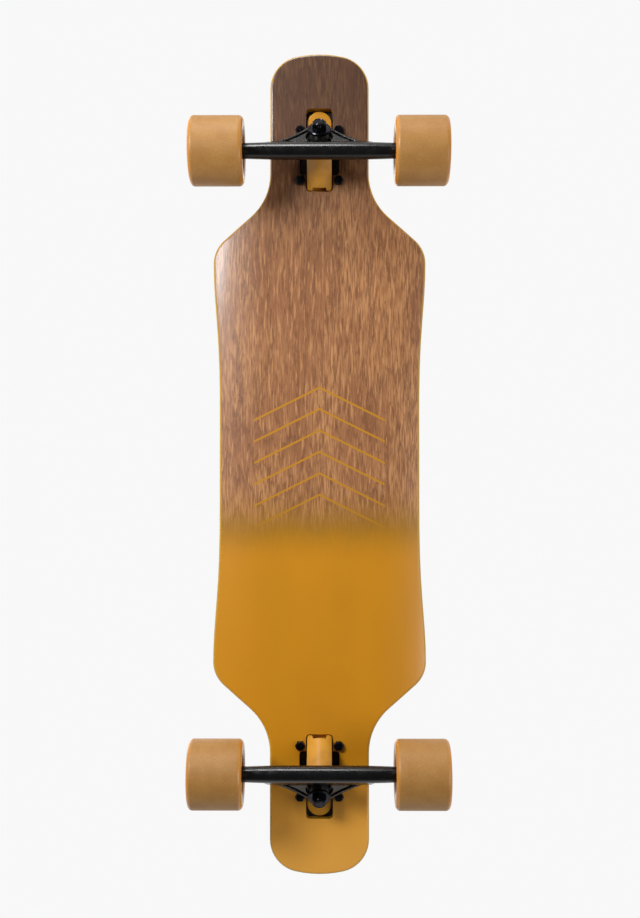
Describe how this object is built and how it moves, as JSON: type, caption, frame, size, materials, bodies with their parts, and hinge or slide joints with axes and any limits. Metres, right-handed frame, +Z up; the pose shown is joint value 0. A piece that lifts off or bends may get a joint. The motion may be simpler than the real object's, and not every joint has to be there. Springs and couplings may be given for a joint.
{
  "type": "drop-through longboard skateboard",
  "caption": "Drop-through longboard: cutaway maple deck with concave, reverse-kingpin trucks that steer on bushings, and free-rolling urethane wheels on bearings.",
  "frame": {"origin": "on the ground under the middle of the board, wheels standing on z = 0", "axes": "+X towards the nose, +Y to the left, +Z up"},
  "size_m": [0.88, 0.268, 0.1059],
  "materials": {
    "deck_core": "painted edge over maple plies",
    "bottom_veneer": "stained veneer under clear gloss lacquer, ochre paint fade towards the tail",
    "top_veneer": "clear maple",
    "grip_tape": "mineral grit on adhesive film",
    "baseplate_paint": "satin powder coat",
    "hanger_paint": "satin black powder coat",
    "black_urethane": "satin moulded urethane",
    "black_hardware": "black oxide, glossy",
    "zinc_steel": "bright zinc plate",
    "wheel_urethane": "cast amber urethane, slightly translucent",
    "wheel_core": "moulded hub",
    "bearing_steel": "ground steel",
    "bearing_shield": "rubber faced shield"
  },
  "bodies": {
    "deck": {"bottom_veneer": "bottom_veneer", "deck_core": "deck_core", "front_baseplate": "baseplate_paint", "front_boardside_bushing": "black_urethane", "front_boardside_washer": "black_hardware", "front_kingpin": "black_hardware", "front_kingpin_nut": "black_hardware", "front_mounting_nuts": "black_hardware", "front_mounting_screws": "black_hardware", "front_pivot_cup": "black_urethane", "front_roadside_bushing": "black_urethane", "front_roadside_washer": "black_hardware", "front_shock_pad": "black_urethane", "grip_tape": "grip_tape", "rear_baseplate": "baseplate_paint", "rear_boardside_bushing": "black_urethane", "rear_boardside_washer": "black_hardware", "rear_kingpin": "black_hardware", "rear_kingpin_nut": "black_hardware", "rear_mounting_nuts": "black_hardware", "rear_mounting_screws": "black_hardware", "rear_pivot_cup": "black_urethane", "rear_roadside_bushing": "black_urethane", "rear_roadside_washer": "black_hardware", "rear_shock_pad": "black_urethane", "top_veneer": "top_veneer"},
    "front_hanger": {"front_axle": "zinc_steel", "front_axle_nuts": "zinc_steel", "front_bearing_inner_rings": "bearing_steel", "front_bearing_spacers": "zinc_steel", "front_hanger": "hanger_paint", "front_speed_washers": "zinc_steel"},
    "front_left_wheel": {"front_left_bearing_balls": "bearing_steel", "front_left_bearing_outer_rings": "bearing_steel", "front_left_bearing_shields": "bearing_shield", "front_left_tyre": "wheel_urethane", "front_left_wheel_core": "wheel_core"},
    "front_right_wheel": {"front_right_bearing_balls": "bearing_steel", "front_right_bearing_outer_rings": "bearing_steel", "front_right_bearing_shields": "bearing_shield", "front_right_tyre": "wheel_urethane", "front_right_wheel_core": "wheel_core"},
    "rear_hanger": {"rear_axle": "zinc_steel", "rear_axle_nuts": "zinc_steel", "rear_bearing_inner_rings": "bearing_steel", "rear_bearing_spacers": "zinc_steel", "rear_hanger": "hanger_paint", "rear_speed_washers": "zinc_steel"},
    "rear_left_wheel": {"rear_left_bearing_balls": "bearing_steel", "rear_left_bearing_outer_rings": "bearing_steel", "rear_left_bearing_shields": "bearing_shield", "rear_left_tyre": "wheel_urethane", "rear_left_wheel_core": "wheel_core"},
    "rear_right_wheel": {"rear_right_bearing_balls": "bearing_steel", "rear_right_bearing_outer_rings": "bearing_steel", "rear_right_bearing_shields": "bearing_shield", "rear_right_tyre": "wheel_urethane", "rear_right_wheel_core": "wheel_core"}
  },
  "joints": [
    {"name": "front_steer", "type": "hinge", "parent": "deck", "child": "front_hanger", "pos_m": [0.34, 0, 0.0737], "axis": [0.7431, 0, 0.6691], "range_deg": [-15, 15], "stiffness_Nm_per_rad": 25, "deforming": ["front_boardside_bushing", "front_roadside_bushing"]},
    {"name": "front_left_wheel_spin", "type": "hinge", "parent": "front_hanger", "child": "front_left_wheel", "pos_m": [0.3217, 0, 0.036], "axis": [0, 1, 0], "continuous": true},
    {"name": "front_right_wheel_spin", "type": "hinge", "parent": "front_hanger", "child": "front_right_wheel", "pos_m": [0.3217, 0, 0.036], "axis": [0, 1, 0], "continuous": true},
    {"name": "rear_steer", "type": "hinge", "parent": "deck", "child": "rear_hanger", "pos_m": [-0.34, 0, 0.0737], "axis": [-0.7431, 0, 0.6691], "range_deg": [-15, 15], "stiffness_Nm_per_rad": 25, "deforming": ["rear_boardside_bushing", "rear_roadside_bushing"]},
    {"name": "rear_left_wheel_spin", "type": "hinge", "parent": "rear_hanger", "child": "rear_left_wheel", "pos_m": [-0.3217, 0, 0.036], "axis": [0, 1, 0], "continuous": true},
    {"name": "rear_right_wheel_spin", "type": "hinge", "parent": "rear_hanger", "child": "rear_right_wheel", "pos_m": [-0.3217, 0, 0.036], "axis": [0, 1, 0], "continuous": true}
  ]
}
